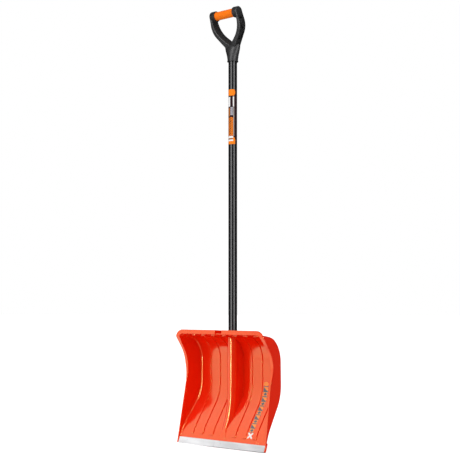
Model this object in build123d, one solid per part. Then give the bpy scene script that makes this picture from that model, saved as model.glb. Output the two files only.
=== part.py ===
from build123d import *
import os
from math import asin, cos, degrees, radians, sin, tan

# A long-handled snow shovel: moulded scoop, metal cutting edge, tube shaft and D-grip.
# Millimetres. +X right, -Y is the open front of the scoop, +Z up along the shaft.
# While modelling, Y = 0 and Z = 0 lie at the cutting edge; place() centres the depth at the end.

# ---- overall ----
total_height = 1404.0
scoop_width = 365.0
mouth_height = 357.0          # inside of the ceiling, level with the cutting edge

# ---- scoop sheet ----
wall = 3.0
back_depth = 101.5            # cutting edge to the upright back
tip_height = 56.0             # first bend of the floor
tip_angle = 23.0              # lean of the lowest stretch, from vertical
floor_angle = 36.0            # lean of the floor above it
ceiling_slope = 8.0
tip_round = 150.0
floor_round = 120.0
ceiling_round = 80.0
corner_round = 6.0            # inside, between the back and the side walls
side_lean = 6.5               # side walls close in towards the back
side_taper = 0.7              # and a little towards the top
square_corner_height = 28.0   # the lowest back corners are left square

# ---- free edge and rim ----
neck_depth = 49.3
neck_drop = 83.0              # below the mouth height, like the other drops
neck_round = 120.0
rim_reach = 7.0               # the rim stands in front of the cutting edge
rim_drop = 7.0
rim_height = 14.0             # rim flange above the mouth
rim_thickness = 3.0
rim_corner_round = 30.0
rim_turn_round = 10.0         # where the free edge turns up into the rim
flare_drop = 102.0            # the side walls close in from here up to the ceiling
flare_in = 15.5               # by this much on each side
flare_corner_round = 16.0
ceiling_skim = 0.3            # this round-cornered opening sits just under the sheet's ceiling
lip_straight_drop = 97.0      # the side lips keep their full width down to here
lip_fade_drop = 197.0
lip_fade_run = 12.0
notch_width = 27.0
saddle_front = 25.0           # the saddle's ramp starts this far behind the cutting edge
saddle_step = 0.5             # and this far above the ceiling
saddle_root = 15.0            # and is rooted this deep in the back bend

# ---- flutes ----
flute_spacing = [46.5, 88.0, 129.0]
flute_base = 17.0
flute_top = 13.0
flute_rise = 2.8
flute_low = 35.0
flute_end_depth = 21.0        # behind the cutting edge, under the ceiling
groove_rim = 2.2              # plastic left on each side of the back groove
groove_flare = 2.0            # the groove is this much wider at the surface

# ---- shaft and socket ----
tube_diameter = 28.0
tube_wall = 1.2
tube_depth = 66.0             # shaft axis behind the cutting edge
tube_low = 196.0
tube_in_grip = 37.0
bore_gap = 0.15
socket_wall = 2.5
socket_floor = 4.0
ridge_bend = 175.0
ridge_round = 262.0
ridge_turn = 34.0
hollow_turn = 21.0            # the hollow behind the ridge ends higher
toe_low = 24.0                # the ridge runs out into the floor between these heights
toe_high = 70.0
socket_below_rim = 3.0        # the collar stays hidden behind the rim

# ---- cutting edge strip ----
strip_thickness = 1.2
strip_leg = 20.0
strip_gap = 0.1
strip_inset = 6.0             # from each side of the scoop
strip_fold_round = 0.9
rivet_count = 5
rivet_radius = 2.0
rivet_head_radius = 3.2
rivet_gap = 0.05
rivet_up_leg = 11.0           # above the inside of the strip's fold

# ---- screws ----
screw_radius = 2.1
screw_length = 20.0
screw_head_radius = 4.8
screw_head_height = 2.6
screw_head_round = 1.2
screw_drive_radius = 1.9
screw_drive_depth = 1.8
screw_gap = 0.1
socket_screw_height = 62.0    # above the bottom of the tube
grip_screw_height = 18.0      # above the bottom of the grip
boss_radius = 7.5
boss_reach = 3.0

# ---- D-grip ----
grip_height = 165.0
grip_bend_rise = 55.0         # the D leans forward this far above the bottom of the grip
grip_lean = 21.0
grip_wall = 3.05              # round the bore
lip_reach = 0.8
lip_height = 3.0
neck_heights = [17.5, 34.0]   # sections of the neck above the bottom of the grip
neck_widening = [2.4, 7.9]    # each side, over the round socket
neck_narrowing = [0.0, 0.2]   # front and back
neck_top_half = 29.2
arm_depth = 33.0
arm_edge_round = 3.0
arm_outer_low = (17.7, -8.0)
arm_outer_bend = (61.1, 50.8)
arm_outer_round = 60.0
arm_outer_top = 56.6
opening_low = 2.3
opening_bend = (49.5, 48.5)
opening_round = 80.0
opening_low_round = 6.0
boss_outer_radius = 17.0
boss_inner_x = 38.0
boss_edge_round = 3.0
pocket_inset = 5.5
pocket_depth = 24.0
pocket_low = 14.0
pocket_high = 94.0
rib_thickness = 2.0
rib_pitch = 16.0
sleeve_radius = 13.5
core_radius = 10.0
sleeve_edge_round = 1.2

# ---- printed films ----
film = 0.2
label_drop = 92.0             # below the grip
label_length = 178.0
label_turn = 230.0
decal_x = 108.5
decal_width = 19.0
decal_low = 37.0
decal_top = 207.0

far = 300.0                   # how far cutting bodies run past the part
tip_t = tan(radians(tip_angle))
half_width = scoop_width / 2
flare_top_half = half_width - flare_in
neck_height = mouth_height - neck_drop
rim_low = mouth_height - rim_drop
flare_low = mouth_height - flare_drop
lip_straight_low = mouth_height - lip_straight_drop
lip_fade_low = mouth_height - lip_fade_drop
strip_length = scoop_width - 2 * strip_inset
bore_radius = tube_diameter / 2 + bore_gap
ridge_radius = bore_radius + socket_wall
rim_top = mouth_height + rim_height
socket_top = rim_top - socket_below_rim
grip_low = total_height - grip_height
grip_bend = grip_low + grip_bend_rise
socket_radius = bore_radius + grip_wall
lip_radius = socket_radius + lip_reach
label_low = grip_low - label_drop - label_length


# ---- drawing helpers, in the side view: y is depth, z is height ----
def side_point(y, z):
    return Vector(0, y, z)


def rounded_path(points, rounds):
    """A wire along straight stretches, each inner corner rounded to its own radius."""
    edges = []
    start = points[0]
    for before, corner, after, radius in zip(points, points[1:], points[2:], rounds):
        arriving = (corner - before).normalized()
        leaving = (after - corner).normalized()
        reach = radius * tan(radians(arriving.get_angle(leaving)) / 2)
        arc_start = corner - arriving * reach
        arc_end = corner + leaving * reach
        edges.append(Edge.make_line(start, arc_start))
        edges.append(Edge.make_tangent_arc(arc_start, arriving, arc_end))
        start = arc_end
    edges.append(Edge.make_line(start, points[-1]))
    return Wire(edges)


def parallel(points, rounds, distance, normal):
    """The same stretches moved sideways, with their corner radii to match."""
    ways = [(b - a).normalized() for a, b in zip(points, points[1:])]
    sides = [way.cross(normal) for way in ways]
    moved = [points[0] + sides[0] * distance]
    new_rounds = []
    for i, (corner, radius) in enumerate(zip(points[1:-1], rounds)):
        before, after = sides[i], sides[i + 1]
        moved.append(corner + (before + after) * (distance / (1 + before.dot(after))))
        bend = ways[i].cross(ways[i + 1]).dot(normal)
        new_rounds.append(radius + distance * (1 if bend > 0 else -1))
    moved.append(points[-1] + sides[-1] * distance)
    return moved, new_rounds


def closed_face(path, extra_points):
    """A face bounded by the path and straight lines through the extra points."""
    back = Wire.make_polygon([path @ 1, *extra_points, path @ 0], close=False)
    return Face(Wire([*path.edges(), *back.edges()]))


# ---- scoop ----
def sheet_path(low, front, depth=0.0):
    """Front surface of the floor, back and ceiling, or a line that deep behind it."""
    tip_bend = side_point(tip_height * tip_t, tip_height)
    floor_rise = (back_depth - tip_bend.Y) / tan(radians(floor_angle))
    points = [
        side_point(low * tip_t, low),
        tip_bend,
        side_point(back_depth, tip_height + floor_rise),
        side_point(back_depth, mouth_height - back_depth * tan(radians(ceiling_slope))),
        side_point(front, mouth_height - front * tan(radians(ceiling_slope))),
    ]
    rounds = [tip_round, floor_round, ceiling_round]
    return rounded_path(*parallel(points, rounds, depth, Vector(1, 0, 0)))


def inside_region(depth):
    """Side view of everything in front of the sheet, running far out of the mouth."""
    path = sheet_path(-far / 4, -far, depth)
    return closed_face(path, [side_point(-far, -far / 4)])


def side_wedge(inset):
    """The space between the two side walls."""
    sections = []
    for z in (-far, 2 * far):
        def half(y):
            return (half_width - inset - y * tan(radians(side_lean))
                    - z * tan(radians(side_taper)))
        corners = [(-half(-far), -far), (half(-far), -far), (half(far), far), (-half(far), far)]
        sections.append(Pos(0, 0, z) * make_face(Polyline(*corners, close=True)))
    return loft(sections, ruled=True)


def long_corners(body):
    """The edges between the back sheet and the side walls."""
    return [
        e for e in body.edges()
        if abs(e.center().X) > half_width / 2
        and e.center().Y > -far * 0.9
        and e.center().Z > -far / 5
    ]


def behind_free_edge():
    points = [
        side_point(-far / 4 * neck_depth / neck_height, -far / 4),
        side_point(neck_depth, neck_height),
        side_point(-rim_reach, rim_low),
        side_point(-rim_reach, 2 * far),
    ]
    path = rounded_path(points, [neck_round, rim_turn_round])
    return closed_face(path, [side_point(far, 2 * far), side_point(far, -far / 4)])


def slab(face):
    return extrude(face, amount=far, dir=(1, 0, 0), both=True)


def rim_outline():
    """Front view of the rim and its side lips."""
    half_points = [
        (half_width - lip_fade_run, lip_fade_low),
        (half_width, lip_straight_low),
        (half_width, rim_top),
    ]
    corners = half_points + [(-x, z) for x, z in reversed(half_points)]
    outline = make_face(Polyline(*corners, close=True))
    top = outline.vertices().group_by(Axis.Y)[-1]
    return fillet(top, rim_corner_round)


def flute_section(path, base, top, front, back):
    plane = Plane(origin=path @ 0, x_dir=(1, 0, 0), z_dir=path % 0)
    corners = [(-base / 2, back), (base / 2, back), (top / 2, front), (-top / 2, front)]
    return plane * make_face(Polyline(*corners, close=True))


def flutes(positions):
    path = sheet_path(flute_low, flute_end_depth)
    bar = sweep(flute_section(path, flute_base, flute_top, -flute_rise, wall / 2), path)
    return [Pos(x, 0, 0) * bar for x in positions]


def back_grooves(positions):
    path = sheet_path(flute_low + wall, flute_end_depth + wall)
    deepest = wall - flute_rise
    width = flute_top - 2 * groove_rim
    bar = sweep(flute_section(path, width + groove_flare, width, deepest, wall + 1), path)
    return [Pos(x, 0, 0) * bar for x in positions]


def ridge_crest(turned):
    """A point on the bent front line of the ridge."""
    turn = radians(turned)
    back = ridge_round * (1 - cos(turn))
    return side_point(tube_depth - ridge_radius - back, ridge_bend - ridge_round * sin(turn))


def ridge_toe():
    """What is taken off the ridge so that it runs out into the floor."""
    high = ridge_crest(degrees(asin((ridge_bend - toe_high) / ridge_round)))
    low = side_point(toe_low * tip_t, toe_low)
    out = [side_point(low.Y - toe_low * tip_t, 0), side_point(-far, 0), side_point(-far, toe_high)]
    return slab(Face(Wire.make_polygon([high, low, *out])))


def ridge_sweep(inset, top, turned):
    """U-shaped bar round the shaft that bends forward towards the floor."""
    radius = ridge_radius - inset
    crest = tube_depth - ridge_radius
    bend = side_point(crest, ridge_bend)
    path = Wire([
        Edge.make_line(side_point(crest, top), bend),
        Edge.make_tangent_arc(bend, Vector(0, 0, -1), ridge_crest(turned)),
    ])
    plane = Plane(origin=path @ 0, x_dir=(1, 0, 0), z_dir=path % 0)
    round_part = Pos(0, -ridge_radius) * Circle(radius)
    straight_part = Pos(0, -ridge_radius - far / 4) * Rectangle(2 * radius, far / 2)
    return sweep(plane * (round_part + straight_part), path)


def tube_cylinder(radius, low, high):
    return Pos(0, tube_depth, (low + high) / 2) * Cylinder(radius, high - low)


def saddle():
    """Channel on top of the ceiling, from the notch in the rim back to the shaft socket."""
    sink = wall / 2
    slope = tan(radians(ceiling_slope))
    root = mouth_height - tube_depth * slope - saddle_root

    def ceiling(y):
        return mouth_height - y * slope

    def block(front, step, half):
        corners = [
            side_point(front, ceiling(front) + sink),
            side_point(front, step),
            side_point(tube_depth - bore_radius, socket_top),
            side_point(tube_depth, socket_top),
            side_point(tube_depth, root),
            side_point(tube_depth - ridge_radius, mouth_height - saddle_root),
        ]
        return extrude(Face(Wire.make_polygon(corners)), half, dir=(1, 0, 0), both=True)

    rim_back = sink - rim_reach
    cheeks = block(rim_back, rim_top, notch_width / 2 + wall) - block(rim_back, rim_top, notch_width / 2)
    ramp = block(saddle_front, ceiling(saddle_front) + wall + saddle_step, notch_width / 2 + sink)
    return (cheeks + ramp) - slab(inside_region(sink))


def strip_plane():
    """Local x runs back through the sheet, local y up along the lowest stretch."""
    tip = radians(tip_angle)
    return Plane(origin=(0, 0, 0), x_dir=(0, cos(tip), -sin(tip)), z_dir=(1, 0, 0))


def strip_low():
    """Where the strip starts along the tip line, so that it just reaches the ground."""
    return (wall + strip_gap + strip_thickness) * tip_t


def strip_band(low, high, front, back, length):
    face = Pos((front + back) / 2, (low + high) / 2) * Rectangle(back - front, high - low)
    return extrude(strip_plane() * face, amount=length / 2, both=True)


def rivet_places():
    pitch = strip_length / rivet_count
    height = strip_low() + strip_thickness + rivet_up_leg
    for i in range(rivet_count):
        x = (i - (rivet_count - 1) / 2) * pitch
        yield Plane(
            origin=strip_plane().from_local_coords((0, height, x)),
            z_dir=strip_plane().x_dir,
        )


def rivet(gap):
    """Shank with a flush cone at each end; a gap makes the matching hole."""
    front = -strip_gap - strip_thickness
    back = wall + strip_gap + strip_thickness
    shank = Pos(0, 0, (front + back) / 2) * Cylinder(rivet_radius + gap, back - front)
    cone = Cone(rivet_head_radius + gap, rivet_radius + gap, strip_thickness)
    front_head = Pos(0, 0, front + strip_thickness / 2) * cone
    back_head = Pos(0, 0, back - strip_thickness / 2) * Rot(180, 0, 0) * cone
    return shank + front_head + back_head


def rivet_holes():
    return [place_plane * rivet(rivet_gap) for place_plane in rivet_places()]


def screw_at(height, reach, gap=0.0):
    """Pan-head screw driven in from behind; reach is where its head seats."""
    shank_mid = reach - screw_length / 2
    lay = Rot(90, 0, 0)
    shank = Pos(0, shank_mid, 0) * lay * Cylinder(screw_radius + gap, screw_length)
    if gap:
        return Pos(0, 0, height) * shank
    head = Cylinder(screw_head_radius, screw_head_height)
    head = fillet(head.edges().group_by(Axis.Z)[-1], screw_head_round)
    head -= Pos(0, 0, screw_head_height - screw_drive_depth) * Cylinder(screw_drive_radius, screw_head_height)
    head = Pos(0, reach + screw_head_height / 2, 0) * Rot(-90, 0, 0) * head
    return Pos(0, 0, height) * (shank + head)


def socket_screw_spot():
    return tube_low + socket_screw_height, tube_depth + ridge_radius + boss_reach


def grip_screw_spot():
    return grip_low + grip_screw_height, tube_depth + socket_radius + boss_reach


def screw_boss(height, reach):
    """Round pad between the socket wall and the screw's head."""
    length = reach - tube_depth
    return Pos(0, tube_depth + length / 2, height) * Rot(90, 0, 0) * Cylinder(boss_radius, length)


def round_topped_opening(grow):
    """Front view of the hollow, its sides closing in to round top corners, run along the ceiling."""
    top = mouth_height - ceiling_skim + grow
    corners = [
        (half_width + grow, -far),
        (half_width + grow, flare_low),
        (flare_top_half + grow, top),
    ]
    corners += [(-x, z) for x, z in reversed(corners)]
    outline = make_face(Polyline(*corners, close=True))
    highest = outline.vertices().group_by(Axis.Y)[-1]
    outline = fillet(highest, flare_corner_round + grow)
    slope = radians(ceiling_slope)
    return extrude(Plane.XZ * outline, far, dir=(0, cos(slope), -sin(slope)), both=True)


def make_scoop():
    outside = slab(inside_region(wall)) & side_wedge(0)
    inside = slab(inside_region(0)) & side_wedge(wall)
    square_corners = (outside - inside) & Box(
        2 * far, 2 * far, square_corner_height, align=(Align.CENTER, Align.CENTER, Align.MIN)
    )
    outside = fillet(long_corners(outside), corner_round + wall)
    inside = fillet(long_corners(inside), corner_round)
    outside &= round_topped_opening(wall)
    inside &= round_topped_opening(0)
    free_edge = behind_free_edge()
    shell = ((outside - inside) + (square_corners - inside)) & slab(free_edge)

    lip_band = slab(free_edge - Pos(0, rim_thickness, 0) * free_edge)
    rim = lip_band & extrude(Plane.XZ * rim_outline(), amount=far, both=True)
    body = shell + (rim - inside)
    notch = Pos(0, -rim_reach, rim_top) * Box(notch_width, 2 * rim_thickness, 2 * rim_height + wall)
    body -= notch

    mirrored = [side * x for x in flute_spacing for side in (-1, 1)]
    body += flutes(mirrored)
    body -= back_grooves(mirrored)
    short_flute = flutes([0])[0] & Pos(0, 0, mouth_height) * Box(far, 2 * tube_depth, far / 4)
    in_front = slab(inside_region(wall / 2))
    body += short_flute
    body += (ridge_sweep(0, mouth_height, ridge_turn) & in_front) - ridge_toe()
    body -= ridge_sweep(socket_wall, mouth_height - ceiling_round / 2, hollow_turn)
    body += saddle()
    body += tube_cylinder(ridge_radius, tube_low - socket_floor, socket_top)
    spot = socket_screw_spot()
    body += screw_boss(*spot)
    body -= tube_cylinder(bore_radius, tube_low, socket_top + far)
    body -= screw_at(*spot, gap=screw_gap)

    room = strip_length + 2 * strip_gap
    low = strip_low()
    high = low + strip_thickness + strip_leg + strip_gap
    body -= strip_band(low - far / 4, low + strip_thickness + strip_gap, -far, far, 2 * far)
    body -= strip_band(low, high, -far / 10, 0, room)
    body -= strip_band(low, high, wall, far / 10, room)
    body -= rivet_holes()
    return body


def make_strip():
    low = strip_low()
    front = -strip_gap - strip_thickness
    back = wall + strip_gap + strip_thickness
    high = low + strip_thickness + strip_leg
    strip = strip_band(low, high, front, back, strip_length)
    strip = fillet(strip.edges().filter_by(Axis.X).group_by(Axis.Z)[0], strip_fold_round)
    strip -= strip_band(low + strip_thickness, high + 1, -strip_gap, wall + strip_gap, 2 * far)
    return strip - rivet_holes()


def make_rivets():
    return Compound([(place_plane * rivet(0)).solid() for place_plane in rivet_places()])


def tube_top():
    return grip_low + tube_in_grip


def make_shaft():
    tube = tube_cylinder(tube_diameter / 2, tube_low, tube_top())
    tube -= tube_cylinder(tube_diameter / 2 - tube_wall, tube_low, tube_top())
    tube -= screw_at(*socket_screw_spot(), gap=screw_gap)
    return tube - screw_at(*grip_screw_spot(), gap=screw_gap)


# ---- D-grip ----
def grip_plane():
    """Local x to the right, local y up along the leaning D, local z out of its front."""
    lean = radians(grip_lean)
    return Plane(
        origin=(0, tube_depth, grip_bend), x_dir=(1, 0, 0), z_dir=(0, -cos(lean), -sin(lean))
    )


def crossbar_height():
    """Along the leaning D, so that the bosses reach the total height."""
    return (total_height - grip_bend - boss_outer_radius) / cos(radians(grip_lean))


def arm_half_outline(inset):
    points = [
        Vector(*arm_outer_low),
        Vector(*arm_outer_bend),
        Vector(arm_outer_top, crossbar_height()),
    ]
    return parallel(points, [arm_outer_round], -inset, Vector(0, 0, 1))


def mirrored_face(points, rounds):
    """A closed outline from one half and its mirror image."""
    half = rounded_path(points, rounds)
    other = half.mirror(Plane.YZ)
    low = Edge.make_line(half @ 0, other @ 0)
    top = Edge.make_line(half @ 1, other @ 1)
    return Face(Wire([*half.edges(), *other.edges(), low, top]))


def d_opening():
    top = crossbar_height() + 2 * boss_outer_radius
    points = [Vector(0, opening_low), Vector(*opening_bend), Vector(opening_bend[0], top)]
    half = rounded_path(points, [opening_round])
    other = half.mirror(Plane.YZ)
    lid = Edge.make_line(half @ 1, other @ 1)
    face = Face(Wire([*half.edges(), *other.edges(), lid]))
    lowest = face.vertices().sort_by(Axis.Y)[0]
    return fillet(lowest, opening_low_round)


def d_body():
    face = mirrored_face(*arm_half_outline(0)) - d_opening()
    body = extrude(face, amount=arm_depth / 2, both=True)
    rims = body.edges().filter_by(lambda e: abs(abs(e.center().Z) - arm_depth / 2) < 0.01)
    return fillet(rims, arm_edge_round)


def arm_pockets():
    """Hollows in the outer sides of the arms, crossed by slanting ribs."""
    skin = mirrored_face(*arm_half_outline(-1)) - mirrored_face(*arm_half_outline(pocket_inset))
    middle = (pocket_low + pocket_high) / 2
    window = Pos(0, middle) * Rectangle(far, pocket_high - pocket_low)
    pockets = extrude(skin & window, amount=pocket_depth / 2, both=True)
    count = int((pocket_high - pocket_low) / rib_pitch) + 1
    for i in range(count + 1):
        slant = 45 if i % 2 else -45
        rib = Rot(slant, 0, 0) * Box(far, rib_thickness, 2 * arm_depth)
        pockets -= Pos(0, pocket_low + (i + 0.5) * rib_pitch, 0) * rib
    return pockets


def lying_cylinder(radius, x_low, x_high):
    middle = (x_low + x_high) / 2
    return Pos(middle, crossbar_height(), 0) * Rot(0, 90, 0) * Cylinder(radius, x_high - x_low)


def grip_socket():
    """Tapered neck: round over the shaft, widening into the two arms."""
    sections = [
        Pos(0, tube_depth, grip_low) * Ellipse(socket_radius, socket_radius),
        *[
            Pos(0, tube_depth, grip_low + height) * Ellipse(socket_radius + wider, socket_radius - less)
            for height, wider, less in zip(neck_heights, neck_widening, neck_narrowing)
        ],
        grip_plane() * Rot(90, 0, 0) * Ellipse(neck_top_half, arm_depth / 2),
    ]
    return loft(sections)


def make_grip_frame():
    shape = d_body() - arm_pockets()
    boss = lying_cylinder(boss_outer_radius, boss_inner_x, arm_outer_top)
    boss = fillet(boss.edges().group_by(Axis.X)[-1], boss_edge_round)
    shape += [boss, boss.mirror(Plane.YZ)]
    shape += lying_cylinder(core_radius, -boss_inner_x, boss_inner_x)
    shape = grip_plane() * shape
    shape += grip_socket()
    shape += tube_cylinder(lip_radius, grip_low, grip_low + lip_height)
    spot = grip_screw_spot()
    shape += screw_boss(*spot)
    shape -= tube_cylinder(bore_radius, grip_low - 1, tube_top() + bore_gap)
    return shape - screw_at(*spot, gap=screw_gap)


def make_sleeve():
    tube = Cylinder(sleeve_radius, 2 * boss_inner_x)
    tube = fillet(tube.edges(), sleeve_edge_round) - Cylinder(core_radius, 2 * boss_inner_x)
    return grip_plane() * Pos(0, crossbar_height(), 0) * Rot(0, 90, 0) * tube


# ---- printed films ----
def make_label():
    """Thin label round the front of the shaft."""
    outer = tube_diameter / 2 + film
    reach = 2 * outer
    half_turn = radians(label_turn / 2)
    fan = make_face(Polyline(
        (0, 0), (-reach * sin(half_turn), -reach * cos(half_turn)), (0, -reach * 2),
        (reach * sin(half_turn), -reach * cos(half_turn)), close=True,
    ))
    face = (Circle(outer) - Circle(tube_diameter / 2)) & fan
    return Pos(0, tube_depth, label_low) * extrude(face, amount=label_length)


def make_decal():
    """Printed strip on the floor, between two flutes."""
    band = inside_region(0) - inside_region(-film)
    middle = (decal_low + decal_top) / 2
    window = Pos(0, back_depth / 2, middle) * Box(decal_width, 2 * back_depth, decal_top - decal_low)
    sheet = extrude(band, decal_width / 2, dir=(1, 0, 0), both=True)
    return Pos(decal_x, 0, 0) * (sheet & window)


def place():
    """Centres the depth, from the rim's front to the outside of the back."""
    return Pos(0, (rim_reach - back_depth - wall) / 2, 0)


pieces = {
    "scoop": make_scoop(),
    "edge_strip": make_strip(),
    "edge_rivets": make_rivets(),
    "shaft_tube": make_shaft(),
    "socket_screw": screw_at(*socket_screw_spot()),
    "grip_frame": make_grip_frame(),
    "grip_sleeve": make_sleeve(),
    "grip_screw": screw_at(*grip_screw_spot()),
    "shaft_label": make_label(),
    "scoop_decal": make_decal(),
}

os.makedirs("parts", exist_ok=True)
for name, shape in pieces.items():
    export_step(place() * shape, f"parts/{name}.step")
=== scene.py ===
"""Finishes, floor, lights and camera for the long-handled scoop shovel.

Metres, +Z up. The shovel stands on its cutting edge with the open front of the scoop towards -Y.
"""
import math

import bmesh
import bpy
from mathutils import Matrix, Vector


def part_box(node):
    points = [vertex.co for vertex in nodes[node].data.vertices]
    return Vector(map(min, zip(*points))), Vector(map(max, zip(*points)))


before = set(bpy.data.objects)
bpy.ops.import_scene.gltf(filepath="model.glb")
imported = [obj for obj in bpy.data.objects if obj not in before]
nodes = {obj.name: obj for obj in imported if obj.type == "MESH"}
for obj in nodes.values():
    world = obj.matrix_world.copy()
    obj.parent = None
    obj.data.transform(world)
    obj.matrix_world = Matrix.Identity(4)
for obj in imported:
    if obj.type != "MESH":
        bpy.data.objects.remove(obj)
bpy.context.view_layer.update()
MM = 0.001
LABEL_PRINT_TURN = math.radians(150)

# ---------------------------------------------------------------- node helpers


class Recipe:
    """Adds and joins nodes in one node tree, so that a finish reads as a list of steps."""

    def __init__(self, tree):
        self.tree = tree

    def feed(self, socket, value):
        """Joins an output to a socket, or sets the socket to a plain value."""
        if isinstance(value, bpy.types.NodeSocket):
            self.tree.links.new(value, socket)
        else:
            socket.default_value = value

    def put(self, kind, inputs=None, **settings):
        """A new node with its settings and its inputs filled."""
        node = self.tree.nodes.new(kind)
        for name, value in settings.items():
            setattr(node, name, value)
        for name, value in (inputs or {}).items():
            self.feed(node.inputs[name], value)
        return node

    def sum(self, operation, a, b=0.0, clamp=False):
        """One step of arithmetic."""
        node = self.put("ShaderNodeMath", {0: a, 1: b}, operation=operation, use_clamp=clamp)
        return node.outputs[0]

    def span(self, value, low, high, to_low=0.0, to_high=1.0):
        """Maps low..high to to_low..to_high, held at the ends."""
        limits = {"From Min": low, "From Max": high, "To Min": to_low, "To Max": to_high}
        return self.put("ShaderNodeMapRange", {"Value": value, **limits}).outputs["Result"]

    def between(self, value, low, high):
        """1 where value lies from low to high, else 0."""
        above = self.sum("GREATER_THAN", value, low)
        below = self.sum("LESS_THAN", value, high)
        return self.sum("MULTIPLY", above, below)

    def either(self, *masks):
        """The strongest of several masks."""
        found = masks[0]
        for mask in masks[1:]:
            found = self.sum("MAXIMUM", found, mask)
        return found

    def both(self, a, b):
        """Where two masks overlap."""
        return self.sum("MULTIPLY", a, b)

    def tint(self, mask, under, over):
        """The colour under, with the colour over laid on it where the mask is 1."""
        node = self.put("ShaderNodeMix", {0: mask, 6: under, 7: over}, data_type="RGBA")
        return node.outputs[2]

    def place(self, stretch=(1.0, 1.0, 1.0), turn=(0.0, 0.0, 0.0)):
        """Positions on the shovel in metres, stretched and turned."""
        spot = self.put("ShaderNodeTexCoord").outputs["Object"]
        inputs = {"Vector": spot, "Rotation": turn, "Scale": stretch}
        return self.put("ShaderNodeMapping", inputs).outputs[0]

    def axes(self):
        """The three coordinates of a position, in metres."""
        spot = self.put("ShaderNodeTexCoord").outputs["Object"]
        return self.put("ShaderNodeSeparateXYZ", {0: spot}).outputs

    def cloud(self, place, scale, detail=2.0, rough=0.5):
        """Soft noise from 0 to 1."""
        inputs = {"Vector": place, "Scale": scale, "Detail": detail, "Roughness": rough}
        return self.put("ShaderNodeTexNoise", inputs).outputs["Fac"]

    def group(self, tree, **inputs):
        """One of the shared effects, with its own values."""
        node = self.put("ShaderNodeGroup", node_tree=tree)
        for name, value in inputs.items():
            self.feed(node.inputs[name.capitalize()], value)
        return node.outputs

    def bump(self, height, strength, distance, normal=None):
        """A normal with a relief of the given depth."""
        inputs = {"Height": height, "Strength": strength, "Distance": distance}
        if normal is not None:
            inputs["Normal"] = normal
        return self.put("ShaderNodeBump", inputs).outputs["Normal"]


def new_group(name, inputs, outputs):
    """An empty shared effect: its tree, its recipe, and its input and output sockets."""
    tree = bpy.data.node_groups.new(name, "ShaderNodeTree")
    for label, value in inputs.items():
        socket = tree.interface.new_socket(label, in_out="INPUT", socket_type="NodeSocketFloat")
        socket.default_value = value
    for label, kind in outputs.items():
        tree.interface.new_socket(label, in_out="OUTPUT", socket_type=kind)
    recipe = Recipe(tree)
    return tree, recipe, recipe.put("NodeGroupInput").outputs, recipe.put("NodeGroupOutput").inputs


def new_finish(name, **shader):
    """An empty material with its shader set: the material, its recipe and the shader's inputs."""
    material = bpy.data.materials.new(name)
    material.use_nodes = True
    tree = material.node_tree
    tree.nodes.clear()
    recipe = Recipe(tree)
    surface = recipe.put("ShaderNodeBsdfPrincipled")
    for label, value in shader.items():
        surface.inputs[label.replace("_", " ").title().replace("Ior", "IOR")].default_value = value
    recipe.put("ShaderNodeOutputMaterial", {"Surface": surface.outputs[0]})
    return material, recipe, surface.inputs


# ---------------------------------------------------------------- shared effects


def mottle_effect():
    """Slow and quick unevenness, as handling and moulding leave on any surface."""
    tree, do, given, out = new_group(
        "uneven_patches",
        {"Scale": 10.0, "Low": 0.0, "High": 1.0},
        {"Value": "NodeSocketFloat"},
    )
    place = do.place()
    slow = do.cloud(place, given["Scale"], 3.0, 0.55)
    quick = do.cloud(place, do.sum("MULTIPLY", given["Scale"], 9.0), 2.0, 0.6)
    mixed = do.sum("ADD", do.sum("MULTIPLY", slow, 0.7), do.sum("MULTIPLY", quick, 0.3))
    do.feed(out["Value"], do.span(mixed, 0.3, 0.7, given["Low"], given["High"]))
    return tree


def scratch_effect():
    """Hairline scratches in three directions, thicker in some places than others."""
    tree, do, given, out = new_group(
        "hairline_scratches",
        {"Scale": 60.0, "Cover": 0.5},
        {"Mask": "NodeSocketFloat"},
    )
    lines = []
    for turn, stretch in ((0.35, (0.04, 1.0, 1.0)), (-0.6, (1.0, 1.0, 0.05)), (1.2, (0.6, 0.05, 1.0))):
        place = do.place(stretch, (turn, turn * 0.7, turn * 1.3))
        noise = do.cloud(place, given["Scale"], 1.0, 0.4)
        lines.append(do.span(noise, 0.69, 0.74))
    patches = do.cloud(do.place(), 9.0, 2.0)
    start = do.sum("SUBTRACT", 0.75, do.sum("MULTIPLY", given["Cover"], 0.4))
    cover = do.span(patches, start, do.sum("ADD", start, 0.12))
    do.feed(out["Mask"], do.both(do.either(*lines), cover))
    return tree


def edge_effect():
    """Rounds corners in the light and marks them where they rub pale."""
    tree, do, given, out = new_group(
        "rubbed_edges",
        {"Radius": 0.001, "Wear": 0.5},
        {"Mask": "NodeSocketFloat", "Normal": "NodeSocketVector"},
    )
    rounded = do.put("ShaderNodeBevel", {"Radius": given["Radius"]}, samples=6)
    plain = do.put("ShaderNodeNewGeometry").outputs["Normal"]
    inputs = {0: rounded.outputs[0], 1: plain}
    facing = do.put("ShaderNodeVectorMath", inputs, operation="DOT_PRODUCT").outputs["Value"]
    turned = do.span(do.sum("SUBTRACT", 1.0, facing), 0.02, 0.16)
    patches = do.cloud(do.place(), 70.0, 3.0)
    rubbed = do.span(patches, do.sum("SUBTRACT", 0.8, do.sum("MULTIPLY", given["Wear"], 0.5)), 0.8)
    do.feed(out["Mask"], do.both(turned, rubbed))
    do.feed(out["Normal"], rounded.outputs[0])
    return tree


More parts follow.
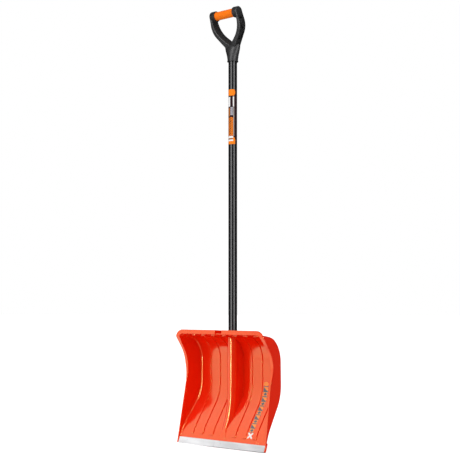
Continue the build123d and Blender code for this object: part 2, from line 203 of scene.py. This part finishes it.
def grain_effect():
    """The fine pebbled relief of etched moulds and sprayed coatings."""
    tree, do, given, out = new_group(
        "pebble_grain",
        {"Scale": 900.0},
        {"Height": "NodeSocketFloat"},
    )
    place = do.place()
    inputs = {"Vector": place, "Scale": given["Scale"]}
    pebbles = do.put("ShaderNodeTexVoronoi", inputs, feature="SMOOTH_F1").outputs["Distance"]
    fine = do.cloud(place, do.sum("MULTIPLY", given["Scale"], 0.4), 3.0, 0.6)
    rounded = do.sum("SUBTRACT", 1.0, pebbles)
    raised = do.sum("MULTIPLY", rounded, 0.6)
    do.feed(out["Height"], do.sum("ADD", raised, do.sum("MULTIPLY", fine, 0.4)))
    return tree


def dust_effect():
    """Dry snow dust and grit that settles on faces that look up."""
    tree, do, given, out = new_group(
        "settled_dust",
        {"Amount": 0.2},
        {"Mask": "NodeSocketFloat"},
    )
    normal = do.put("ShaderNodeNewGeometry").outputs["Normal"]
    up = do.put("ShaderNodeSeparateXYZ", {0: normal}).outputs["Z"]
    specks = do.cloud(do.place(), 420.0, 3.0, 0.7)
    drift = do.cloud(do.place(), 24.0, 3.0, 0.6)
    loose = do.both(do.span(specks, 0.5, 0.72), do.span(drift, 0.42, 0.66))
    do.feed(out["Mask"], do.both(do.both(loose, do.span(up, 0.15, 0.8)), given["Amount"]))
    return tree


MOTTLE = mottle_effect()
SCRATCH = scratch_effect()
EDGE = edge_effect()
GRAIN = grain_effect()
DUST = dust_effect()

# ---------------------------------------------------------------- finishes

SCOOP_RED = (0.92, 0.014, 0.0003, 1.0)
SCOOP_DEEP = (0.87, 0.009, 0.0002, 1.0)
SCOOP_RUBBED = (0.95, 0.20, 0.08, 1.0)
AMBER = (0.98, 0.24, 0.004, 1.0)
AMBER_PALE = (1.0, 0.38, 0.04, 1.0)
DECAL_AMBER = (0.98, 0.27, 0.02, 1.0)
SLATE = (0.07, 0.075, 0.12, 1.0)
LABEL_GROUND = (0.026, 0.009, 0.012, 1.0)
SIDE_BROWN = (0.42, 0.13, 0.02, 1.0)
BAR_BROWN = (0.33, 0.10, 0.01, 1.0)
PRINT_GREY = (0.52, 0.52, 0.58, 1.0)
DASH_ORANGE = (0.90, 0.22, 0.015, 1.0)
DASH_DARK = (0.035, 0.010, 0.008, 1.0)
# painted highlight: the pale grey of a strip light's reflection down the shaft label
PAINTED_HIGHLIGHT_GREY = (0.80, 0.72, 0.66, 1.0)
PAPER = (0.86, 0.86, 0.86, 1.0)
DUST_GREY = (0.62, 0.60, 0.58, 1.0)


def scoop_finish():
    """Glossy red-orange moulded plastic with a faint ripple and hairline scratches."""
    material, do, surface = new_finish(
        "glossy_red_plastic",
        ior=1.6,
        specular_ior_level=0.9,
        specular_tint=(1.0, 0.92, 0.30, 1.0),
        coat_roughness=0.05,
    )
    edges = do.group(EDGE, radius=0.9 * MM, wear=0.35)
    scratches = do.group(SCRATCH, scale=70.0, cover=0.45)["Mask"]
    shade = do.group(MOTTLE, scale=7.0)["Value"]
    colour = do.tint(shade, SCOOP_RED, SCOOP_DEEP)
    colour = do.tint(do.both(edges["Mask"], 0.45), colour, SCOOP_RUBBED)
    colour = do.tint(do.both(scratches, 0.22), colour, SCOOP_RUBBED)
    colour = do.tint(do.group(DUST, amount=0.10)["Mask"], colour, DUST_GREY)
    do.feed(surface["Base Color"], colour)
    rough = do.group(MOTTLE, scale=14.0, low=0.13, high=0.20)["Value"]
    do.feed(surface["Roughness"], do.sum("ADD", rough, do.both(scratches, 0.22)))
    do.feed(surface["Coat Weight"], do.span(shade, 0.0, 1.0, 0.24, 0.30))
    ripple = do.bump(do.cloud(do.place((1.0, 1.0, 0.5)), 26.0, 2.0), 0.20, 0.5 * MM, edges["Normal"])
    peel = do.bump(do.cloud(do.place(), 420.0, 2.0), 0.10, 0.05 * MM, ripple)
    do.feed(surface["Normal"], do.bump(scratches, 0.25, -0.03 * MM, peel))
    return material


def strip_finish():
    """Rolled aluminium, lightly brushed along its length and scuffed where it digs."""
    material, do, surface = new_finish("rolled_aluminium", metallic=1.0)
    edges = do.group(EDGE, radius=0.35 * MM, wear=0.8)
    rolled = do.cloud(do.place((0.02, 1.0, 1.0)), 900.0, 4.0, 0.7)
    broad = do.cloud(do.place((0.10, 1.0, 1.0)), 120.0, 2.0)
    scratches = do.group(SCRATCH, scale=110.0, cover=0.8)["Mask"]
    oxide = do.span(do.cloud(do.place((0.25, 1.0, 1.0)), 60.0, 3.0), 0.35, 0.65)
    colour = do.tint(oxide, (0.80, 0.80, 0.81, 1.0), (0.71, 0.71, 0.72, 1.0))
    colour = do.tint(do.both(edges["Mask"], 0.8), colour, (0.88, 0.88, 0.89, 1.0))
    do.feed(surface["Base Color"], colour)
    rough = do.span(rolled, 0.3, 0.7, 0.26, 0.40)
    rough = do.sum("ADD", rough, do.both(oxide, 0.08))
    do.feed(surface["Roughness"], do.sum("ADD", rough, do.both(scratches, 0.12)))
    relief = do.sum("ADD", rolled, do.both(broad, 0.6))
    lined = do.bump(relief, 0.28, 0.05 * MM, edges["Normal"])
    do.feed(surface["Normal"], do.bump(scratches, 0.5, -0.05 * MM, lined))
    return material


def rivet_finish():
    """Aluminium rivet heads, set with a cupped tool and dulled by grit."""
    material, do, surface = new_finish("set_rivets", metallic=1.0)
    grit = do.group(MOTTLE, scale=260.0)["Value"]
    do.feed(surface["Base Color"], do.tint(grit, (0.80, 0.80, 0.81, 1.0), (0.62, 0.62, 0.64, 1.0)))
    do.feed(surface["Roughness"], do.span(grit, 0.0, 1.0, 0.24, 0.45))
    do.feed(surface["Normal"], do.bump(do.group(GRAIN, scale=1800.0)["Height"], 0.3, 0.05 * MM))
    return material


def tube_finish():
    """Black powder coating: a fine orange-peel relief over a satin gloss."""
    material, do, surface = new_finish("black_powder_coat", specular_ior_level=0.55)
    scratches = do.group(SCRATCH, scale=130.0, cover=0.35)["Mask"]
    shade = do.group(MOTTLE, scale=16.0)["Value"]
    colour = do.tint(shade, (0.0070, 0.0070, 0.0076, 1.0), (0.010, 0.010, 0.011, 1.0))
    colour = do.tint(do.both(scratches, 0.25), colour, (0.06, 0.06, 0.06, 1.0))
    do.feed(surface["Base Color"], colour)
    do.feed(surface["Roughness"], do.group(MOTTLE, scale=40.0, low=0.16, high=0.22)["Value"])
    peel = do.bump(do.group(GRAIN, scale=1100.0)["Height"], 0.05, 0.01 * MM)
    do.feed(surface["Normal"], do.bump(do.cloud(do.place(), 220.0, 2.0), 0.05, 0.03 * MM, peel))
    return material


def grip_finish():
    """Black moulded nylon with an etched grain, polished where hands rub it."""
    material, do, surface = new_finish("black_moulded_nylon", specular_ior_level=0.5)
    edges = do.group(EDGE, radius=1.0 * MM, wear=0.5)
    shade = do.group(MOTTLE, scale=30.0)["Value"]
    scratches = do.group(SCRATCH, scale=150.0, cover=0.4)["Mask"]
    colour = do.tint(shade, (0.016, 0.016, 0.017, 1.0), (0.026, 0.026, 0.027, 1.0))
    colour = do.tint(do.both(edges["Mask"], 0.35), colour, (0.13, 0.13, 0.13, 1.0))
    colour = do.tint(do.both(scratches, 0.3), colour, (0.10, 0.10, 0.10, 1.0))
    colour = do.tint(do.group(DUST, amount=0.10)["Mask"], colour, DUST_GREY)
    do.feed(surface["Base Color"], colour)
    rough = do.group(MOTTLE, scale=22.0, low=0.34, high=0.50)["Value"]
    do.feed(surface["Roughness"], do.sum("SUBTRACT", rough, do.both(edges["Mask"], 0.12)))
    etched = do.group(GRAIN, scale=850.0)["Height"]
    do.feed(surface["Normal"], do.bump(etched, 0.35, 0.12 * MM, edges["Normal"]))
    return material


def sleeve_finish():
    """Orange grip sleeve: soft-touch plastic with a fine grain and darker handling marks."""
    material, do, surface = new_finish(
        "orange_soft_touch",
        specular_ior_level=0.32,
        specular_tint=(1.0, 0.80, 0.35, 1.0),
        sheen_weight=0.05,
        sheen_roughness=0.4,
    )
    edges = do.group(EDGE, radius=0.8 * MM, wear=0.4)
    shade = do.group(MOTTLE, scale=34.0)["Value"]
    soil = do.span(do.cloud(do.place((0.6, 1.0, 1.0)), 48.0, 4.0, 0.65), 0.52, 0.78)
    colour = do.tint(shade, (0.95, 0.190, 0.002, 1.0), (0.88, 0.155, 0.002, 1.0))
    colour = do.tint(do.both(soil, 0.25), colour, (0.42, 0.075, 0.006, 1.0))
    colour = do.tint(do.both(edges["Mask"], 0.3), colour, AMBER_PALE)
    do.feed(surface["Base Color"], colour)
    do.feed(surface["Roughness"], do.group(MOTTLE, scale=50.0, low=0.30, high=0.44)["Value"])
    grain = do.group(GRAIN, scale=950.0)["Height"]
    do.feed(surface["Normal"], do.bump(grain, 0.30, 0.10 * MM, edges["Normal"]))
    return material


def screw_finish():
    """Zinc-plated steel: bright, faintly blue, with clouded plating."""
    material, do, surface = new_finish("zinc_plated_steel", metallic=1.0)
    clouded = do.group(MOTTLE, scale=180.0)["Value"]
    edges = do.group(EDGE, radius=0.25 * MM, wear=0.7)
    colour = do.tint(clouded, (0.62, 0.64, 0.68, 1.0), (0.42, 0.43, 0.46, 1.0))
    do.feed(surface["Base Color"], do.tint(edges["Mask"], colour, (0.82, 0.82, 0.83, 1.0)))
    do.feed(surface["Roughness"], do.span(clouded, 0.0, 1.0, 0.22, 0.42))
    do.feed(surface["Normal"], do.bump(clouded, 0.15, 0.04 * MM, edges["Normal"]))
    return material


def label_span():
    """Where the shaft label lies: tube axis, bottom and height."""
    low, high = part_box("shaft_tube")
    bottom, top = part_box("shaft_label")
    return (low + high) / 2, bottom.z, top.z - bottom.z


def label_finish():
    """Printed film round the shaft: an amber block, white striping, small print bars and slanted dashes,
    with a painted highlight line and a painted highlight stripe down one side.
    """
    material, do, surface = new_finish("printed_shaft_film", coat_weight=0.4, coat_roughness=0.08)
    axis, bottom, height = label_span()
    x, y, z = do.axes()
    side = do.sum("SUBTRACT", x, axis.x)
    ahead = do.sum("SUBTRACT", axis.y, y)
    turn = do.sum("ARCTAN2", side, ahead)
    across = do.sum("ADD", do.sum("DIVIDE", turn, LABEL_PRINT_TURN), 0.5)
    down = do.span(z, bottom + height, bottom)
    slant = do.sum("ADD", do.sum("MULTIPLY", down, 23.0), do.sum("MULTIPLY", across, 3.2))
    counter = do.sum("SUBTRACT", do.sum("MULTIPLY", down, 31.0), do.sum("MULTIPLY", across, 4.0))
    worn = do.cloud(do.place(), 300.0, 3.0, 0.7)

    round_end = do.sum("MULTIPLY", do.sum("POWER", do.span(across, 0.84, 1.0), 2.0), 0.052)
    fold = do.sum("ABSOLUTE", do.sum("SUBTRACT", down, 0.055))
    printed = do.sum("LESS_THAN", across, 0.985)
    top_tab = do.both(do.sum("LESS_THAN", do.sum("ADD", fold, round_end), 0.060), printed)
    # partly painted highlight: the first stripe is white print, the second a painted highlight where a
    # strip light would reflect on the film
    print_and_highlight_stripes = do.either(do.between(across, 0.20, 0.52), do.between(across, 0.77, 0.885))
    paper_and_highlight_stripes = do.both(do.between(down, 0.136, 0.313), print_and_highlight_stripes)
    # painted highlight: a pale line down the film where a strip light would reflect
    painted_highlight_line = do.both(do.between(down, 0.12, 0.85), do.between(across, 0.825, 0.885))
    small_bars = do.sum("LESS_THAN", do.sum("FRACT", do.sum("MULTIPLY", down, 46.0)), 0.62)
    print_block = do.both(do.between(down, 0.325, 0.479), do.between(across, 0.55, 0.78))
    small_print = do.both(small_bars, print_block)
    side_mark = do.both(do.between(down, 0.336, 0.49), do.between(across, 0.0, 0.52))
    dash_block = do.both(do.between(down, 0.510, 0.850), do.sum("LESS_THAN", across, 0.80))
    thick = do.both(do.sum("LESS_THAN", do.sum("FRACT", slant), 0.46), do.sum("LESS_THAN", across, 0.60))
    thin = do.both(do.sum("LESS_THAN", do.sum("FRACT", counter), 0.22), do.between(across, 0.56, 0.78))
    dashes = do.either(thick, thin)
    end_round = do.sum("MULTIPLY", do.sum("POWER", do.span(across, 0.84, 1.0), 2.0), 0.07)
    end_tab = do.both(do.sum("GREATER_THAN", do.sum("SUBTRACT", down, end_round), 0.864), printed)
    bar_pair = do.either(do.between(down, 0.853, 0.889), do.between(down, 0.915, 0.943))
    paper_bars = do.both(do.sum("LESS_THAN", across, 0.80), bar_pair)
    brown_bar = do.both(do.sum("LESS_THAN", across, 0.76), do.between(down, 0.889, 0.915))

    colour = do.tint(top_tab, LABEL_GROUND, AMBER)
    # white print stripe and a painted highlight stripe
    colour = do.tint(paper_and_highlight_stripes, colour, PAPER)
    colour = do.tint(side_mark, colour, SIDE_BROWN)
    colour = do.tint(small_print, colour, PRINT_GREY)
    colour = do.tint(dash_block, colour, DASH_ORANGE)
    colour = do.tint(do.both(dash_block, dashes), colour, DASH_DARK)
    # lays the painted highlight line over the print
    colour = do.tint(do.both(painted_highlight_line, 0.6), colour, PAINTED_HIGHLIGHT_GREY)
    colour = do.tint(end_tab, colour, AMBER)
    colour = do.tint(paper_bars, colour, PAPER)
    colour = do.tint(brown_bar, colour, BAR_BROWN)
    colour = do.tint(do.both(do.span(worn, 0.60, 0.75), 0.12), colour, DUST_GREY)
    do.feed(surface["Base Color"], colour)
    do.feed(surface["Roughness"], do.group(MOTTLE, scale=60.0, low=0.16, high=0.28)["Value"])
    do.feed(surface["Normal"], do.bump(do.group(GRAIN, scale=700.0)["Height"], 0.06, 0.04 * MM))
    return material


def decal_finish():
    """Printed film down the scoop: amber and slate pieces in turn, ending in a pale one."""
    material, do, surface = new_finish(
        "printed_scoop_film",
        ior=1.6,
        specular_ior_level=0.8,
        specular_tint=(1.0, 0.90, 0.60, 1.0),
        coat_roughness=0.05,
        coat_weight=0.08,
    )
    low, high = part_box("scoop_decal")
    x, y, z = do.axes()
    lean = math.atan2(high.y - low.y, high.z - low.z)
    length = math.hypot(high.y - low.y, high.z - low.z)
    rise = do.sum("MULTIPLY", do.sum("SUBTRACT", z, low.z), math.cos(lean))
    run = do.sum("MULTIPLY", do.sum("SUBTRACT", y, low.y), math.sin(lean))
    along = do.sum("DIVIDE", do.sum("ADD", rise, run), length)
    across = do.span(x, low.x, high.x, -1.0, 1.0)

    cells = do.sum("MULTIPLY", do.sum("SUBTRACT", along, 0.10), 12.0)
    inside = do.sum("SUBTRACT", do.sum("FRACT", cells), 0.5)
    aside = do.sum("ABSOLUTE", across)
    off = do.sum("ABSOLUTE", inside)
    turn_about = do.sum("LESS_THAN", do.sum("FRACT", do.sum("MULTIPLY", cells, 0.5)), 0.5)
    lozenge = do.sum("LESS_THAN", do.sum("ADD", off, do.sum("MULTIPLY", aside, 0.45)), 0.36)
    wedge = do.sum("LESS_THAN", do.sum("ADD", inside, do.sum("MULTIPLY", across, 0.45)), -0.08)
    bar = do.sum("GREATER_THAN", off, 0.39)
    other = do.sum("SUBTRACT", 1.0, turn_about)
    picked = do.sum("ADD", do.both(lozenge, turn_about), do.both(wedge, other))
    slate = do.either(picked, bar)
    gaps = do.both(do.sum("GREATER_THAN", aside, 0.72), do.between(off, 0.10, 0.30))
    body = do.between(along, 0.10, 0.935)
    crossed = do.sum("ABSOLUTE", do.sum("SUBTRACT", do.sum("MULTIPLY", along, 20.0), 1.0))
    hook = do.sum("LESS_THAN", do.sum("ABSOLUTE", do.sum("SUBTRACT", crossed, aside)), 0.42)
    pale_end = do.both(hook, do.sum("LESS_THAN", along, 0.10))
    from_dot = do.sum("MULTIPLY", do.sum("SUBTRACT", along, 0.968), 31.0)
    ring = do.sum("ADD", do.sum("POWER", from_dot, 2.0), do.sum("POWER", across, 2.0))
    top_dot = do.sum("LESS_THAN", ring, 1.0)

    colour = do.tint(do.both(body, do.sum("SUBTRACT", 1.0, gaps)), SCOOP_RED, DECAL_AMBER)
    colour = do.tint(do.both(body, slate), colour, SLATE)
    colour = do.tint(pale_end, colour, PAPER)
    colour = do.tint(top_dot, colour, AMBER)
    do.feed(surface["Base Color"], colour)
    do.feed(surface["Roughness"], do.group(MOTTLE, scale=60.0, low=0.16, high=0.26)["Value"])
    do.feed(surface["Normal"], do.bump(do.group(GRAIN, scale=700.0)["Height"], 0.06, 0.04 * MM))
    return material


# ---------------------------------------------------------------- pieces


def dress(node, finish):
    """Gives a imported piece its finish."""
    piece = nodes[node]
    if not piece.data.materials:
        piece.data.materials.append(finish)
    for place in piece.material_slots:
        place.material = finish


def dress_pieces():
    """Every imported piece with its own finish."""
    dress("scoop", scoop_finish())
    dress("edge_strip", strip_finish())
    dress("edge_rivets", rivet_finish())
    dress("shaft_tube", tube_finish())
    zinc = screw_finish()
    dress("socket_screw", zinc)
    dress("grip_screw", zinc)
    dress("grip_frame", grip_finish())
    dress("grip_sleeve", sleeve_finish())
    dress("shaft_label", label_finish())
    dress("scoop_decal", decal_finish())


# ---------------------------------------------------------------- studio

WORLD_FILL = (0.78, 0.78, 0.78, 1.0)
WORLD_SHINE = (0.045, 0.045, 0.045, 1.0)


def soft_light(name, at, target, size, brightness):
    """A rectangular soft light facing a point; brightness 1 is as bright as the white backdrop."""
    data = bpy.data.lights.new(name, "AREA")
    data.shape = "RECTANGLE"
    data.size, data.size_y = size
    data.energy = brightness * math.pi * size[0] * size[1]
    lamp = bpy.data.objects.new(name, data)
    bpy.context.scene.collection.objects.link(lamp)
    lamp.location = at
    facing = Vector(target) - Vector(at)
    lamp.rotation_euler = facing.to_track_quat("-Z", "Y").to_euler()
    lamp.visible_camera = False
    return lamp


def beside(centre, turn, away, height):
    """A point that far from a centre, turned from the open front towards +X."""
    angle = math.radians(turn)
    return (centre.x + away * math.sin(angle), centre.y - away * math.cos(angle), height)


def only_for(lamp, *names):
    """Lets a light fall on some pieces alone, through the floor if it stands lower."""
    lit = bpy.data.collections.new(lamp.name + "_pieces")
    for name in names:
        lit.objects.link(nodes[name])
    blocking = bpy.data.collections.new(lamp.name + "_blockers")
    for piece in nodes.values():
        blocking.objects.link(piece)
    lamp.light_linking.receiver_collection = lit
    lamp.light_linking.blocker_collection = blocking


def gloss_light(name, at, target, size, brightness, *names):
    """A light that only shows as a reflection, on the named pieces."""
    lamp = soft_light(name, at, target, size, brightness)
    lamp.visible_diffuse = False
    only_for(lamp, *names)


def add_lights():
    """Panels for the scoop's and the metal's gloss, a soft key and top light, strips for the tube."""
    low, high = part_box("scoop")
    scoop = (low + high) / 2
    low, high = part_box("shaft_tube")
    tube = (low + high) / 2
    shell = ("scoop", "scoop_decal", "edge_strip", "edge_rivets")
    metal = ("edge_strip", "edge_rivets", "socket_screw", "grip_screw")
    handle = ("shaft_tube", "grip_frame", "grip_sleeve")
    floor_level = -0.03
    gloss_light("left_panel", (-1.1, -0.6, 0.985), (0.0, -0.6, 0.985), (2.3, 2.03), 1.30, *shell)
    gloss_light("table_glow", (-0.6, -0.62, floor_level), (-0.6, -0.62, 1.0), (1.0, 1.4), 1.30, *shell)
    gloss_light("back_table_glow", (0.0, 0.55, floor_level), (0.0, 0.55, 1.0), (2.4, 0.9), 0.6, *metal)
    gloss_light("back_panel", (0.0, 1.8, 0.9), (0.0, 0.0, 0.9), (2.4, 1.8), 0.6, *metal)

    soft_light("overhead_box", (0.7, -0.8, 2.2), scoop, (1.4, 1.0), 2.4)
    key = soft_light("front_key", (-0.5, -2.6, 1.1), scoop, (2.2, 1.6), 1.1)
    key.visible_glossy = False

    middle, away, front, side = 1.02, 1.7, -3.4, 76.0
    facing = (tube.x, tube.y, middle)
    ahead = beside(tube, front, away, middle)
    aside = beside(tube, side, away, middle)
    gloss_light("ridge_strip", ahead, facing, (0.22, 2.0), 28.0, "scoop")
    gloss_light("tube_strip_front", ahead, facing, (0.95, 2.0), 4.6, *handle)
    gloss_light("tube_strip_side", aside, facing, (0.85, 2.0), 4.6, *handle)


def add_world():
    """Even white surroundings, dimmer as a light and in reflections than as a backdrop."""
    world = bpy.data.worlds.new("white_room")
    world.use_nodes = True
    world.node_tree.nodes.clear()
    do = Recipe(world.node_tree)
    path = do.put("ShaderNodeLightPath").outputs
    shine = do.tint(path["Is Glossy Ray"], WORLD_FILL, WORLD_SHINE)
    light = do.tint(path["Is Camera Ray"], shine, (1.0, 1.0, 1.0, 1.0))
    mixed = do.put("ShaderNodeBackground", {"Color": light, "Strength": 1.0})
    do.put("ShaderNodeOutputWorld", {"Surface": mixed.outputs[0]})
    bpy.context.scene.world = world


def add_floor():
    """A plain pale floor that reads as the same white as the surroundings."""
    mesh = bpy.data.meshes.new("floor")
    build = bmesh.new()
    bmesh.ops.create_grid(build, x_segments=1, y_segments=1, size=30.0)
    build.to_mesh(mesh)
    build.free()
    floor = bpy.data.objects.new("floor", mesh)
    bpy.context.scene.collection.objects.link(floor)
    material, do, surface = new_finish("pale_floor", roughness=0.9, specular_ior_level=0.1)
    speck = do.cloud(do.place(), 3.0, 2.0)
    do.feed(surface["Base Color"], do.tint(speck, (0.90, 0.90, 0.90, 1.0), (0.93, 0.93, 0.93, 1.0)))
    surface["Emission Color"].default_value = (1.0, 1.0, 1.0, 1.0)
    path = do.put("ShaderNodeLightPath")
    do.feed(surface["Emission Strength"], do.both(path.outputs["Is Camera Ray"], 0.55))
    floor.data.materials.append(material)
    floor.visible_glossy = False


def add_camera():
    """A long lens at waist height, to the right of the open front, framing the whole shovel."""
    turn, away, height, aside, tip = 39.78, 3.188, 0.4536, 0.0333, 2.12
    low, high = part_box("scoop")
    front = low.y + 0.007
    data = bpy.data.cameras.new("front_right")
    data.lens = 78.7
    data.sensor_width = 36.0
    data.shift_y = 0.08
    camera = bpy.data.objects.new("front_right", data)
    bpy.context.scene.collection.objects.link(camera)
    angle = math.radians(turn)
    across = aside * math.cos(angle) + away * math.sin(angle)
    back = aside * math.sin(angle) - away * math.cos(angle)
    camera.location = (across, front + back, height)
    camera.rotation_euler = (math.radians(90 + tip), 0.0, angle)
    bpy.context.scene.camera = camera


add_camera()
dress_pieces()
add_world()
add_floor()
add_lights()
bpy.context.scene.view_settings.view_transform = "Standard"
